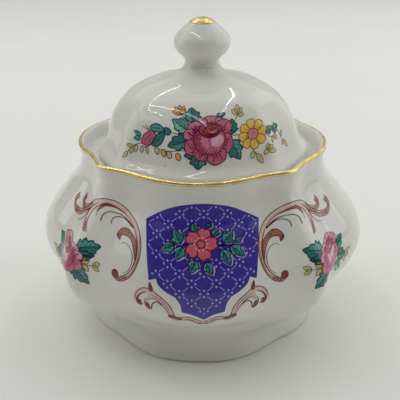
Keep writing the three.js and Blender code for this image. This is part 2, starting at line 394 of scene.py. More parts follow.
def gilded_line():
    """A domed skin on the outer shoulder of the rim, up to its crest."""
    under = smooth_rows(RIM_ROWS[:4], RIM_STEP)
    along = np.gradient(under[:, :2], axis=0)
    normal = np.stack([along[:, 1], -along[:, 0]], -1)
    normal /= np.linalg.norm(normal, axis=1)[:, None]
    lift = GILDING * np.sin(np.linspace(0.12, math.pi - 0.12, len(under))) ** 0.4
    over = under.copy()
    over[:, 0] += normal[:, 0] * lift
    over[:, 2] += normal[:, 0] * lift
    over[:, 1] += normal[:, 1] * lift
    return spin("gilded_rim_line", np.concatenate([over, under[::-1]]), loop=True)


def notch_cutter():
    """Straight-floored bite with rounded ends, 21 mm wide, on the -X side of the lid."""
    half, bend, floor = 10.5, 3.0, -32.2
    outline = [(-60, -half), (floor - bend, -half)]
    for t in np.linspace(0.2, 1.5, 8):
        outline.append((floor - bend + bend * math.sin(t), -half + bend - bend * math.cos(t)))
    outline += [(x, -y) for x, y in outline[::-1]]
    n = len(outline)
    verts = [(x * MM, y * MM, z * MM) for z in (55, 73) for x, y in outline]
    faces = [tuple(range(n))[::-1], tuple(range(n, 2 * n))]
    faces += [(i, (i + 1) % n, n + (i + 1) % n, n + i) for i in range(n)]
    return make_mesh("notch_cutter", verts, faces, smooth=False)


def carve(piece, cutter):
    """Takes the cutter's volume out of the piece for good, and keeps the new edges sharp."""
    cut = piece.modifiers.new("spoon_notch", "BOOLEAN")
    cut.operation = "DIFFERENCE"
    cut.solver = "EXACT"
    cut.object = cutter
    bpy.context.view_layer.update()
    depsgraph = bpy.context.evaluated_depsgraph_get()
    carved = bpy.data.meshes.new_from_object(piece.evaluated_get(depsgraph))
    piece.modifiers.clear()
    piece.data = carved
    bpy.data.objects.remove(cutter)
    carved.materials.clear()
    carved.polygons.foreach_set("use_smooth", [True] * len(carved.polygons))
    carved.set_sharp_from_angle(angle=math.radians(50))


def gilded_cap():
    """A skin over the top of the knob, rounded down at its edge."""
    under = smooth_rows(KNOB_ROWS[10:], 0.2)
    over = under.copy()
    over[:, 1] += GILDING
    over[0] = [4.38, 108.22, 4.38, 0]
    return spin("gilded_knob_cap", np.concatenate([under[::-1], over]), KNOB_SEGMENTS)


finish_piece(gilded_line(), GOLD, "bowl", "rim_gilding")

lid_rows = smooth_rows(LID_ROWS, 0.7)
lid_inside = smooth_rows(LID_INSIDE_ROWS, 1.2)
lid = spin("porcelain_lid", np.concatenate([lid_inside[:-1], lid_rows, [LID_SEAM]]))
carve(lid, notch_cutter())
finish_piece(lid, GLAZE_LID, "lid", "lid")

knob_rows = np.concatenate([[LID_SEAM], smooth_rows(KNOB_ROWS, 0.3)])
knob = spin("porcelain_knob", knob_rows, KNOB_SEGMENTS)
finish_piece(knob, GLAZE_LID, "lid", "knob")
finish_piece(gilded_cap(), GOLD, "lid", "knob_gilding")

# ---- transfers
# In mm: the spacing of a film's points, its underside and top from the glaze, the step up from
# layer to layer, and the width of an outline.
GRAIN = 0.95
FILM_BOTTOM = -0.03
FILM_TOP = 0.045
LAYER = 0.013
LINE = 0.31
# The print is turned a little round the bowl from the middle of its panel.
DECOR_TURN = math.radians(3.8)


class Skin:
    """The outside of a lobed piece; a panel's flat x runs round it and y runs up it, in mm."""

    def __init__(self, rows, datum):
        self.rows = rows
        run = np.hypot(np.diff(rows[:, 0]), np.diff(rows[:, 1]))
        self.length = np.concatenate([[0], np.cumsum(run)])
        self.start = np.interp(datum, rows[:, 1], self.length)

    def row(self, y):
        return np.stack([np.interp(self.start + y, self.length, col) for col in self.rows.T], -1)

    def place(self, phi, y):
        row = self.row(y)
        r = lobed_radius(row, phi)
        return np.stack([r * np.sin(phi), -r * np.cos(phi), row[:, 1]], -1)

    def at(self, x, y, turn, lift):
        phi = turn + x / self.row(y)[:, 0]
        across = self.place(phi + 0.004, y) - self.place(phi - 0.004, y)
        along = self.place(phi, y + 0.3) - self.place(phi, y - 0.3)
        normal = np.cross(across, along)
        normal /= np.linalg.norm(normal, axis=1)[:, None]
        return (self.place(phi, y) + normal * lift[:, None]) * MM, normal


def unchanged(points):
    return points


class Transfer:
    """A printed film: flat shapes, each a thin closed slab on its own layer of the glaze."""

    def __init__(self, skin, turn, place=unchanged):
        self.skin, self.turn, self.place = skin, turn, place
        self.count = 0
        self.flat, self.height, self.faces, self.inks, self.under = [], [], [], [], []

    def slab(self, points, triangles, ink, layer):
        points = np.asarray(points, float)
        a, b, c = (points[[t[k] for t in triangles]] for k in range(3))
        area = (b[:, 0] - a[:, 0]) * (c[:, 1] - a[:, 1]) - (b[:, 1] - a[:, 1]) * (c[:, 0] - a[:, 0])
        tops = [tuple(t) if s > 0 else (t[0], t[2], t[1]) for t, s in zip(triangles, area)]
        edges = {(t[k], t[(k + 1) % 3]) for t in tops for k in range(3)}
        n, base = len(points), self.count
        self.flat += [points, points]
        self.height += [np.full(n, FILM_TOP + LAYER * layer), np.full(n, FILM_BOTTOM)]
        walls = [(j, i, i + n, j + n) for i, j in edges if (j, i) not in edges]
        bottoms = [(t[0] + n, t[2] + n, t[1] + n) for t in tops]
        for group, under in ((tops, False), (walls, False), (bottoms, True)):
            self.faces += [tuple(base + v for v in face) for face in group]
            self.under += [under] * len(group)
            self.inks += [ink] * len(group)
        self.count += 2 * n

    def fill(self, outline, ink, layer=0):
        outline = self.place(dense(outline))
        x, y = outline.T
        if np.sum(x * np.roll(y, -1) - np.roll(x, -1) * y) < 0:
            outline = outline[::-1]
        low, high = outline.min(0), outline.max(0)
        columns = np.arange(low[0] + GRAIN / 2, high[0], GRAIN)
        levels = np.arange(low[1] + GRAIN / 2, high[1], GRAIN)
        inner = [(u, v) for u in columns for v in levels if inside(outline, u, v)]
        n = len(outline)
        verts = [Vector(p) for p in [*outline.tolist(), *inner]]
        found = delaunay_2d_cdt(verts, [], [list(range(n))], 1, 1e-5)
        self.slab([tuple(v) for v in found[0]], found[2], ink, layer)

    def stroke(self, points, width, ink, layer, swell=(0.3, 1, 0.3)):
        """A pen line; swell is its share of the width at even steps along it."""
        line = smooth_rows(points, 0.45) if len(points) > 2 else np.linspace(*points, 5)
        self.ribbon(line, width, ink, layer, swell=swell)

    def ribbon(self, line, width, ink, layer, closed=False, swell=(1, 1)):
        line = self.place(np.array(line, float))
        if closed:
            along = np.roll(line, -1, 0) - np.roll(line, 1, 0)
        else:
            along = np.gradient(line, axis=0)
        along /= np.maximum(np.linalg.norm(along, axis=1), 1e-9)[:, None]
        n = len(line)
        share = np.interp(np.linspace(0, 1, n), np.linspace(0, 1, len(swell)), swell)
        off = np.stack([-along[:, 1], along[:, 0]], -1) * (width / 2 * share)[:, None]
        points = np.concatenate([line - off, line + off])
        triangles = []
        for i in range(n if closed else n - 1):
            j = (i + 1) % n
            triangles += [(i, j, n + j), (i, n + j, n + i)]
        self.slab(points, triangles, ink, layer)

    def outlined(self, outline, ink, line, layer=1, width=LINE):
        self.fill(outline, ink, layer)
        self.ribbon(outline, width, line, layer + 2, closed=True)

    def disc(self, at, radius, ink, layer=2, sides=12):
        turn = np.arange(sides) * 2 * math.pi / sides
        ring = np.stack([at[0] + radius * np.cos(turn), at[1] + radius * np.sin(turn)], -1)
        points = self.place(np.concatenate([[at], ring]))
        self.slab(points, [(0, 1 + i, 1 + (i + 1) % sides) for i in range(sides)], ink, layer)

    def build(self, name, body):
        flat = np.concatenate(self.flat)
        points, normals = self.skin.at(flat[:, 0], flat[:, 1], self.turn, np.concatenate(self.height))
        piece = make_mesh(name, points.tolist(), self.faces)
        mesh = piece.data
        used = sorted(set(self.inks))
        for ink in used:
            mesh.materials.append(INK[ink])
        mesh.polygons.foreach_set("material_index", [used.index(ink) for ink in self.inks])
        loops = []
        for face, under in zip(self.faces, self.under):
            loops += [tuple(-normals[v] if under else normals[v]) for v in face]
        mesh.normals_split_custom_set(loops)
        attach(piece, body)


def dense(outline):
    """The outline with its long straight runs cut into steps that follow the curved glaze."""
    points = np.array(outline, float)
    out = []
    for a, b in zip(points, np.roll(points, -1, 0)):
        n = max(1, math.ceil(math.dist(a, b) / GRAIN))
        out += [a + (b - a) * k / n for k in range(n)]
    return np.array(out)


def inside(outline, u, v, margin=0.35):
    x, y = outline.T
    nx, ny = np.roll(x, -1), np.roll(y, -1)
    crosses = (y > v) != (ny > v)
    at = x + (v - y) * (nx - x) / np.where(ny == y, 1, ny - y)
    near = np.min(np.hypot(x - u, y - v))
    return np.count_nonzero(crosses & (u < at)) % 2 == 1 and near > margin


def turned(points, angle, at):
    c, s = math.cos(angle), math.sin(angle)
    return [(at[0] + c * x - s * y, at[1] + s * x + c * y) for x, y in points]


def oval(at, rx, ry, angle=0, dent=0.0, wave=0.0, sides=28):
    """A petal: an oval whose end along +x can be dented and whose edge can wave."""
    out = []
    for k in range(sides):
        t = 2 * math.pi * k / sides
        r = 1 - dent * math.exp(-(min(t, 2 * math.pi - t) / 0.38) ** 2) + wave * math.cos(5 * t + rx)
        out.append((rx * r * math.cos(t), ry * r * math.sin(t)))
    return turned(out, angle, at)


def blade(base, tip, u, wide):
    """A leaf's outline, and the lines it stands on; wide is its half width at the shares u."""
    base, tip = np.array(base, float), np.array(tip, float)
    along = tip - base
    across = np.array([-along[1], along[0]]) / np.hypot(*along)
    left = base + along * u[:, None] + across * wide[:, None]
    right = base + along * u[:, None] - across * wide[:, None]
    return np.concatenate([left, right[-2:0:-1]]), base, along, across


def leaf(t, base, tip, half, ink="teal", lit="teal_light", line="leaf_line", layer=1, teeth=3):
    """A toothed rose leaf with a lit half, a midrib and side veins."""
    u = np.linspace(0, 1, 8 * teeth + 1)
    tooth = 0.70 + 0.52 * np.mod(u * teeth * 0.999, 1)
    wide = half * np.sin(math.pi * u ** 0.74) ** 0.95 * tooth
    outline, base, along, across = blade(base, tip, u, wide)
    t.outlined(outline, ink, line, layer)
    keep = (u > 0.12) & (u < 0.86)
    rib = base + along * u[keep][:, None]
    near = rib + across * (wide[keep] * 0.18)[:, None]
    far = rib + across * (wide[keep] * 0.74)[:, None]
    t.fill(np.concatenate([near, far[::-1]]), lit, layer + 1)
    midrib = [base, base + along * 0.45 + across * half * 0.08, base + along * 0.9]
    t.stroke(midrib, 0.3, line, layer + 3, swell=(1, 0.7, 0.3))
    for k in range(1, teeth + 1):
        at = k / (teeth + 1.2)
        reach = half * 0.62 * math.sin(math.pi * at ** 0.8)
        for side in (1, -1):
            vein = [base + along * (at - 0.06), base + along * (at + 0.13) + across * reach * side]
            t.stroke(vein, 0.17, line, layer + 3, swell=(1, 0.4))


def leaflet(t, base, tip, half, ink="olive", line="olive_line", layer=1):
    """A small plain pointed leaf."""
    u = np.linspace(0, 1, 10)
    outline, *_ = blade(base, tip, u, half * np.sin(math.pi * u ** 0.85) ** 0.8)
    t.outlined(outline, ink, line, layer, 0.2)


def daisy(t, at, radius, heart, petals):
    """An open yellow flower: dented petals with pencilled throats round a plain disc."""
    middle = (radius + heart) / 2
    half = radius * math.sin(math.pi / petals) * 0.98
    turn, dent = 0.2, 0.16
    for k in range(petals):
        angle = turn + 2 * math.pi * k / petals
        centre = (at[0] + middle * math.cos(angle), at[1] + middle * math.sin(angle))
        petal = oval(centre, (radius - heart) / 2 * 1.1, half * 0.78, angle, dent)
        t.fill(petal, "yellow", 1 + 0.5 * k)
        t.ribbon(petal, 0.24, "brown_line", 1.4 + 0.5 * k, closed=True)
        for off in (-0.26, 0, 0.26):
            inner = turned([(heart * 0.9, 0), (radius * (0.72 - abs(off)), 0)], angle + off * 0.75, at)
            t.stroke(inner, 0.26, "orange", 6, swell=(1.4, 0.3))
    t.disc(at, heart, "rose_light", 7, 18)
    t.ribbon(oval(at, heart, heart), 0.24, "brown_line", 8, closed=True)


# A rose's palette: its lit petals, its other petals, their shade, their hatching and its outlines.
ROSE_DEEP = ("rose_light", "rose_mid", "rose_shade", "rose_dark", "rose_line")
# The next palette is the deep one moved a step paler: painted sheen, standing in for the glaze's reflection
# that washes out the roses on the sides.
ROSE_PALED_BY_SHEEN = ("rose_pale", "rose_light", "rose_mid", "rose_shade", "rose_dark")


def rose(t, at, size, flip=1.0, inks=ROSE_DEEP):
    """A full rose: guard petals round a cup with a folded, swirled heart."""
    base = 4
    light, middle, shade_ink, fold_ink, line_ink = inks

    def put(points):
        return [(at[0] + x * size * flip, at[1] + y * size) for x, y in points]

    pen = 0.33 * size
    guard = [
        ((0.8, 5.3), 3.8, 2.4, 0.1, light), ((-4.2, 3.7), 2.4, 2.1, 0.6, light),
        ((-5.7, 1.4), 2.3, 1.9, 0.2, light), ((5.0, 3.9), 2.8, 2.4, -0.5, middle),
        ((6.0, -1.4), 2.0, 3.1, 0.1, middle), ((-4.9, -2.5), 2.8, 2.7, 0.5, middle),
        ((-1.9, -4.6), 3.0, 2.1, -0.2, middle), ((2.6, -5.4), 3.3, 2.6, 0.3, middle),
    ]
    for k, (centre, rx, ry, angle, ink) in enumerate(guard):
        petal = put(oval(centre, rx, ry, angle, 0, 0.035))
        t.fill(petal, ink, base + k)
        t.ribbon(petal, pen, line_ink, base + k + 0.6, closed=True)
        shade = put(oval((centre[0] * 0.86, centre[1] * 0.86), rx * 0.55, ry * 0.55, angle))
        t.fill(shade, shade_ink, base + k + 0.4)
        away = math.atan2(centre[1] + 0.3, centre[0] - 0.3)
        for off in (-0.36, -0.18, 0, 0.18, 0.36):
            near, far = 4.8, 6.6 - 2.6 * abs(off) + 0.4 * math.sin(7 * off + k)
            rib = turned([(near, 0), (far, 0)], away + off, (0.3, -0.3))
            t.stroke(put(rib), 0.3 * size, fold_ink, base + 8.2, swell=(1.4, 0.4))
    cup = base + len(guard) + 1
    cup_edge = put(oval((0.3, -0.3), 5.0, 4.6, 0, 0, 0.015))
    t.fill(cup_edge, middle, cup)
    t.ribbon(cup_edge, pen, line_ink, cup + 1, closed=True)
    crescent = [
        (-4.2, 1.6), (-4.3, -1.4), (-2.8, -3.7), (-0.4, -4.4), (-1.6, -2.6), (-2.6, -0.6), (-2.9, 1.4),
    ]
    t.fill(put(smooth_rows(crescent, 0.6, True)), shade_ink, cup + 1)
    t.fill(put(oval((2.7, -0.5), 2.2, 1.8, 0.5)), "rose_pale", cup + 1)
    t.fill(put(oval((-1.0, -0.9), 1.0, 2.2, 0.4)), light, cup + 1)
    mouth = put(oval((0.5, 3.1), 3.6, 2.1, 0.05))
    t.fill(mouth, shade_ink, cup + 2)
    t.ribbon(mouth, pen * 1.2, line_ink, cup + 3, closed=True)
    heart = put(oval((0.9, 2.9), 2.5, 1.45, 0.15))
    t.fill(heart, "rose_heart", cup + 3)
    t.ribbon(heart, pen, line_ink, cup + 4, closed=True)
    t.fill(put(oval((1.5, 2.3), 1.2, 0.7, 0.3)), light, cup + 4)
    swirls = [
        [(-0.7, 2.7), (0.1, 1.9), (1.6, 1.7), (2.7, 2.4), (2.9, 3.3)],
        [(0.1, 3.2), (1.0, 3.7), (2.2, 3.3), (2.3, 2.6)],
        [(-1.7, 3.7), (-0.5, 4.6), (1.3, 4.8), (3.2, 4.1)],
        [(-3.0, 2.6), (-1.6, 0.9), (0.6, 0.6), (2.6, 1.1), (4.0, 2.7)],
        [(0.8, 2.4), (1.3, 2.9), (2.0, 2.6)],
        [(-2.4, 3.2), (-1.4, 2.1), (-0.3, 1.5)],
    ]
    for line in swirls:
        t.stroke(put(line), 0.42 * size, line_ink, cup + 5)
    for k in range(17):
        a = math.radians(140 + 9.5 * k)
        reach = 0.48 + 0.02 * k + 0.13 * (k % 3)
        hatch = []
        for share, angle in ((1, a), (reach, a + 0.12)):
            hatch.append((0.3 + 4.7 * share * math.cos(angle), -0.3 + 4.3 * share * math.sin(angle)))
        t.stroke(put(hatch), 0.4 * size, fold_ink, cup + 3, swell=(1, 0.3))
    folds = [
        [(-4.6, 5.0), (-3.7, 3.1), (-3.9, 1.6)], [(-6.9, 2.2), (-5.7, 1.5), (-4.9, 0.6)],
        [(-6.7, -1.2), (-5.8, -2.5), (-4.9, -3.0)], [(-5.8, -4.0), (-4.8, -4.2), (-3.9, -4.0)],
        [(-3.4, -6.0), (-2.5, -5.1), (-1.4, -5.0)], [(1.0, -7.2), (1.9, -6.1), (1.7, -5.0)],
        [(3.9, -7.3), (4.0, -6.1), (3.3, -5.0)], [(7.2, 0.4), (6.2, -0.6), (5.6, -2.2)],
        [(6.2, 5.3), (5.2, 4.0), (5.0, 2.7)], [(-1.4, 7.1), (-0.5, 6.1), (-0.3, 5.3)],
        [(2.5, 7.1), (2.0, 6.1), (2.3, 5.3)], [(-5.3, 3.9), (-4.3, 2.7), (-4.2, 1.4)],
    ]
    for line in folds:
        t.stroke(put(line), 0.36 * size, fold_ink, base + 8.5, swell=(0.4, 1, 0.3))


def bud(t):
    """The half-open bud at the left end of the lid's spray, in its green sepals."""
    bloom = [
        (-21.3, -3.1), (-20.9, -1.2), (-19.6, 0.4), (-17.2, 1.3),
        (-16.0, 0.6), (-16.4, -1.4), (-17.6, -3.0), (-19.6, -3.5),
    ]
    t.outlined(smooth_rows(bloom, 0.6, True), "rose_mid", "rose_line", 2)
    t.stroke([(-20.5, -2.8), (-19.0, -1.0), (-17.0, 0.5)], 0.3, "rose_dark", 5)
    t.stroke([(-19.2, -3.0), (-18.0, -1.6), (-16.7, -0.4)], 0.3, "rose_dark", 5)
    low = [
        (-12.6, 1.6), (-12.9, -0.6), (-14.6, -2.9), (-17.2, -3.2), (-17.3, -2.2), (-16.2, -0.6), (-14.8, 0.9),
    ]
    t.outlined(smooth_rows(low, 0.5, True), "teal", "leaf_line", 3)
    t.stroke([(-16.9, -2.7), (-15.2, -1.3), (-13.3, 0.8)], 0.22, "leaf_line", 6)
    high = [(-18.2, 2.2), (-17.0, 3.5), (-15.0, 3.9), (-12.8, 2.6), (-12.6, 1.8), (-14.7, 1.4), (-16.6, 1.3)]
    t.outlined(smooth_rows(high, 0.5, True), "teal_light", "leaf_line", 3)
    t.stroke([(-17.7, 2.2), (-15.4, 2.5), (-13.1, 2.0)], 0.22, "leaf_line", 6)
    knot = [(-12.7, 2.9), (-11.4, 3.1), (-10.3, 2.2), (-10.9, 1.0), (-12.4, 1.0)]
    t.outlined(smooth_rows(knot, 0.5, True), "teal", "leaf_line", 3)
    for end in ((-21.0, 2.4), (-19.9, 3.1), (-19.2, 2.2)):
        t.stroke([(-18.2, 1.2), end], 0.3, "brown_line", 3, swell=(1, 0.5))
    leaflet(t, (-21.4, -0.8), (-24.0, 0.4), 0.75, "teal_light", "leaf_line")
    leaflet(t, (-21.6, -1.6), (-24.2, -2.0), 0.8, "teal_light", "leaf_line")


def lid_spray(t):
    """The lid's spray: a rose between a bud and a yellow daisy, with leaves and trails."""
    stems = [
        [(-10.4, 1.8), (-8.4, 1.6), (-6.0, 1.2)], [(9.4, 0.6), (11.0, 0.9), (12.6, 0.6)],
        [(-21.2, -3.1), (-23.6, -4.0), (-26.6, -6.8)], [(-18.0, -3.4), (-19.8, -4.1), (-21.4, -4.0)],
        [(21.4, -0.2), (23.9, -1.4), (28.4, -0.6), (30.2, -2.9), (33.4, -6.2)],
        [(10.3, 4.6), (11.2, 6.6), (12.6, 8.2)], [(16.9, -3.9), (17.6, -5.2), (18.8, -6.3)],
        [(-7.0, 8.2), (-5.6, 6.8), (-4.6, 5.2)], [(-15.6, -4.0), (-12.0, -4.3), (-8.2, -3.8), (-5.2, -3.4)],
        [(21.2, -4.4), (22.6, -5.0), (24.2, -5.0)],
    ]
    for line in stems:
        t.stroke(line, 0.28, "brown_line", 0, swell=(0.6, 1, 0.7))
    leaf(t, (-3.0, 5.6), (-3.5, 11.1), 2.5)
    leaf(t, (-4.4, 3.0), (-9.9, 6.2), 2.4, "teal_light", "frost_leaf")
    leaf(t, (-4.3, 0.2), (-11.4, -2.7), 2.4)
    leaf(t, (-1.4, -4.4), (-1.5, -9.3), 2.7)
    leaf(t, (-2.6, -4.3), (-5.9, -5.2), 1.2, teeth=2)
    leaf(t, (8.8, -0.6), (12.6, -7.0), 2.7)
    leaf(t, (9.6, 1.2), (9.6, 6.4), 1.9)
    leaf(t, (4.2, 6.9), (7.4, 8.7), 1.0, teeth=2)
    rose(t, (1.9, 0.2), 1.0)
    bud(t)
    daisy(t, (16.9, 0.6), 5.0, 1.75, 8)
    trail_left = [
        ((-26.6, -6.8), (-28.6, -9.0)), ((-24.6, -4.8), (-25.6, -7.2)), ((-22.9, -4.0), (-23.9, -6.4)),
        ((-21.0, -4.2), (-21.4, -6.3)), ((-19.4, -4.0), (-18.9, -6.3)), ((-24.4, -4.6), (-26.9, -4.5)),
    ]
    for base, tip in trail_left:
        leaflet(t, base, tip, 0.62)
    berries = [(-15.4, -4.6), (-12.9, -5.0), (-10.9, -5.3), (-7.8, -5.6)]
    for at, ink in zip(berries, ("olive", "orange", "olive", "orange")):
        t.outlined(oval(at, 0.85, 1.15, 0.3), ink, "brown_line", 1, 0.28)
    for tip in ((-10.2, 9.3), (-9.2, 11.0), (-7.5, 11.9), (-5.9, 11.7), (-5.4, 10.4)):
        leaflet(t, (-6.9, 8.2), tip, 0.75, "orange", "brown_line")
    for tip in ((9.6, 9.7), (11.4, 11.6), (13.2, 10.2), (13.9, 7.5)):
        leaflet(t, (11.8, 7.6), tip, 0.85)
    for base, tip in (((18.4, -5.8), (20.6, -9.3)), ((17.4, -5.0), (16.6, -7.4))):
        leaflet(t, base, tip, 0.85)
    for tip in ((20.9, -6.6), (22.2, -3.2), (25.9, -6.4), (24.4, -4.0)):
        leaflet(t, (22.4, -5.1), tip, 0.8)
    leaf(t, (21.3, 0.6), (24.9, 1.6), 1.2, teeth=2)
    leaf(t, (24.6, 0.4), (28.9, 1.0), 1.3, teeth=2)
    trail_right = [
        ((25.6, -1.2), (27.2, -3.0)), ((24.6, -1.4), (24.4, -3.3)), ((30.4, -3.2), (31.4, -1.2)),
        ((32.2, -4.6), (34.9, -7.4)), ((31.6, -4.2), (31.0, -6.0)),
    ]
    for base, tip in trail_right:
        leaflet(t, base, tip, 0.62)


SHIELD_CROWN = [
    (-18.8, 12.2), (-14.5, 14.9), (-8.7, 17.6), (0.2, 18.9), (8.7, 17.4), (14.5, 14.6), (19.2, 12.0),
]
SHIELD_FOOT = [
    [(15.0, -5.4), (14.4, -7.0), (11.9, -9.0), (8.9, -10.4)],
    [(8.9, -10.4), (7.4, -12.6), (6.8, -15.8)],
    [(6.8, -15.8), (3.4, -16.9), (0.2, -19.4)],
]


def shield_outline():
    """A bowed crown, straight sides, and a foot of three scallops each side of the middle."""
    crown = smooth_rows(SHIELD_CROWN, 1.5)
    foot = np.concatenate([smooth_rows(scallop, 1.0) for scallop in SHIELD_FOOT])
    mirrored_foot = [(0.4 - x, y) for x, y in foot[::-1]]
    return np.array([*crown, (18.5, 2.3), (17.5, -6.3), *foot, *mirrored_foot, (-17.1, -6.3), (-18.1, 2.3)])


def shield(t):
    """A violet shield with a dotted pale trellis that sags a little towards its sides."""
    outline = dense(shield_outline())
    t.fill(outline, "violet", 0)
    middle, base, wide, tall, sag = 0.35, 3.4, 7.5, 6.15, 0.006

    def keep(x, y):
        return inside(outline, x, y, 0.6)

    for col in range(-6, 7):
        for row in range(-4, 5):
            x = middle + wide / 2 * col
            y = base + tall * row + (tall / 2 if col % 2 else 0) - sag * x * x
            for dx, dy in ((1.15, 0), (-1.15, 0), (0, 1.0), (0, -1.0)):
                if keep(x + dx, y + dy):
                    t.disc((x + dx, y + dy), 0.36, "lavender", 2, 9)
            for sx in (1, -1):
                a = (x + sx * wide / 2 * 0.29, y + tall / 2 * 0.29)
                b = (x + sx * wide / 2 * 0.71, y + tall / 2 * 0.71)
                if keep(*a) and keep(*b):
                    t.stroke([a, b], 0.22, "lavender", 1, swell=(1, 1))


def shield_flower(t):
    """The shield's flower: five notched petals among leaves, each with a pale slip below it."""
    stems = [
        [(-3, 6.3), (-6.5, 6.0), (-11.5, 6.0)],
        [(2, 5.8), (6.3, 5.6), (11.0, 7.0)],
        [(6.0, 5.6), (8.4, 5.4), (10.6, 4.6)],
    ]
    for line in stems:
        t.stroke(line, 0.5, "night", 3, swell=(1, 1, 0.6))
    leaves = [
        ((-6.8, 6.2), (-9.0, 10.5), 1.9), ((-8.6, 5.7), (-13.4, 3.5), 1.5), ((-6.2, 5.4), (-8.3, 1.0), 1.7),
        ((-2.2, 1.3), (-3.7, -2.7), 1.7), ((0.7, 0.6), (3.0, -3.2), 1.5), ((6.5, 6.3), (9.4, 9.7), 1.9),
        ((10.4, 5.9), (12.8, 7.3), 0.9), ((8.6, 5.2), (13.4, 1.2), 1.5), ((5.8, 4.4), (8.7, -0.8), 1.7),
        ((3.4, 8.6), (4.6, 11.2), 1.3), ((1.6, 11.3), (2.6, 13.1), 0.8), ((-2.0, 10.3), (-3.3, 12.8), 1.2),
    ]
    slip = np.array([0.35, -0.25])
    for base, tip, half in leaves:
        leaflet(t, base + slip, tip + slip, half, "frost", "frost", 3)
        leaf(t, base, tip, half, "teal", "teal_light", "night", 5, 2)
    at = (-0.6, 6.2)
    for k in range(5):
        angle = math.radians(74 + 72 * k)
        centre = turned([(3.1, 0)], angle, at)[0]
        petal = oval(centre, 2.3, 2.1, angle, 0.26, 0.04)
        t.fill(petal, "salmon", 9 + k)
        t.ribbon(petal, 0.36, "salmon_dark", 9.6 + k, closed=True)
    for k in range(10):
        angle = math.radians(38 + 36 * k)
        near, far = turned([(1.1, 0), (2.0, 0)], angle, at)
        t.stroke([near, far], 0.26, "salmon_dark", 15, swell=(1, 0.5))
        t.disc(far, 0.34, "salmon_glow", 16, 8)
    t.disc(at, 1.15, "salmon", 15, 16)
    t.ribbon(oval(at, 1.15, 1.15), 0.3, "salmon_dark", 16, closed=True)


def bracket(t):
    """Half of the leafy bracket that the shield stands in."""
    upper = [(-16.6, -6.7), (-16.2, -8.8), (-14.3, -10.2), (-11.7, -12.0), (-9.9, -14.2), (-8.9, -17.4)]
    lower = [(-17.8, -13.2), (-16.0, -11.9), (-14.2, -12.2), (-12.6, -13.7), (-11.2, -15.8), (-10.3, -17.8)]
    t.fill([*smooth_rows(upper, 0.6), *smooth_rows(lower, 0.6)[::-1]], "scroll_light", 0)
    tip = [(-17.2, -8.6), (-16.7, -6.7), (-15.6, -9.2), (-16.6, -9.8)]
    t.fill(smooth_rows(tip, 0.5, True), "scroll_dark", 1)
    curl = [(-16.9, -9.6), (-19.2, -9.9), (-21.3, -11.5), (-22.0, -13.6), (-20.9, -14.8), (-19.9, -14.2)]
    curl = smooth_rows(curl, 0.5)
    t.ribbon(curl, 1.9, "scroll_light", 0, swell=(0.8, 1, 1, 0.9, 0.5))
    t.ribbon(curl + [0.0, 0.75], 0.26, "scroll_line", 2)
    t.ribbon(curl[4:] + [0.55, -0.5], 0.5, "scroll_line", 2, swell=(0.5, 1, 1.5, 1))
    t.disc((-20.6, -14.1), 0.9, "scroll_dark", 2, 12)
    low = [
        (-18.0, -12.2), (-18.6, -13.8), (-17.9, -15.7), (-16.6, -16.3),
        (-16.2, -15.4), (-15.9, -13.9), (-14.4, -12.8), (-12.6, -14.0),
    ]
    t.stroke(low, 0.34, "scroll_line", 2, swell=(0.7, 1, 1.4, 1.2, 1, 0.6))
    pocket = [(-18.2, -13.6), (-17.9, -15.5), (-16.8, -16.2), (-16.7, -15.0), (-17.2, -13.9)]
    t.fill(smooth_rows(pocket, 0.4, True), "scroll_dark", 1)
    t.stroke(upper, 0.3, "scroll_line", 2, swell=(0.8, 1, 1, 1))
    t.stroke(lower, 0.3, "scroll_line", 2, swell=(0.4, 1, 1, 1))
    t.stroke([(-16.3, -10.7), (-14.0, -11.4), (-11.6, -13.4), (-10.0, -16.6)], 0.22, "scroll_line", 2)
    t.outlined(oval((-9.6, -18.4), 1.25, 0.95, -0.3), "scroll_dark", "scroll_line", 1, 0.25)
    t.outlined(oval((-7.6, -19.3), 1.2, 0.85, -0.2), "scroll_dark", "scroll_line", 1, 0.25)
    t.stroke([(-10.3, -19.3), (-9.0, -20.4), (-7.2, -21.2)], 0.24, "scroll_line", 1)
    foot = smooth_rows([(-6.9, -19.1), (-4.6, -18.9), (-2.4, -20.2), (-0.2, -21.8)], 0.5)
    t.ribbon(foot, 1.7, "scroll_light", 0, swell=(0.6, 1, 1, 0.9))
    above = [(-6.8, -18.3), (-4.5, -18.0), (-2.1, -19.3), (0.1, -21.0)]
    t.stroke(above, 0.3, "scroll_line", 2, swell=(0.8, 1, 1))
    below = [(-6.4, -20.1), (-4.6, -19.8), (-2.9, -21.1), (-1.4, -22.6), (0.1, -22.6)]
    t.stroke(below, 0.34, "scroll_line", 2, swell=(0.8, 1, 1))
    t.stroke([(-5.6, -19.2), (-3.8, -19.5), (-1.8, -21.1)], 0.42, "scroll_dark", 2)
    t.disc((-0.9, -22.0), 0.6, "scroll_dark", 2, 10)


SCROLL_OUTER = [
    (-44.2, 11.0), (-41.8, 12.7), (-38.6, 14.2), (-34.6, 15.0), (-30.4, 14.5), (-26.2, 12.7),
    (-23.0, 10.3), (-21.2, 7.4), (-20.4, 4.1), (-20.5, 0.6), (-21.5, -2.9), (-23.5, -6.2),
    (-26.3, -8.7), (-29.6, -9.6), (-31.4, -8.4),
]
SCROLL_INNER = [
    (-38.9, 10.0), (-37.4, 12.2), (-35.0, 13.2), (-31.6, 12.9), (-27.6, 11.5), (-24.8, 9.6), (-23.0, 7.3),
    (-22.0, 4.6), (-21.7, 1.6), (-22.2, -1.4), (-23.4, -4.2), (-25.6, -6.6), (-28.4, -8.2),
]


def pen_pair(t, middle, off):
    """Two pen lines, one each side of a band's middle line."""
    for side in (1, -1):
        t.ribbon(middle + np.multiply(off, side), 0.26, "scroll_line", 3, swell=(0.6, 1, 0.8))


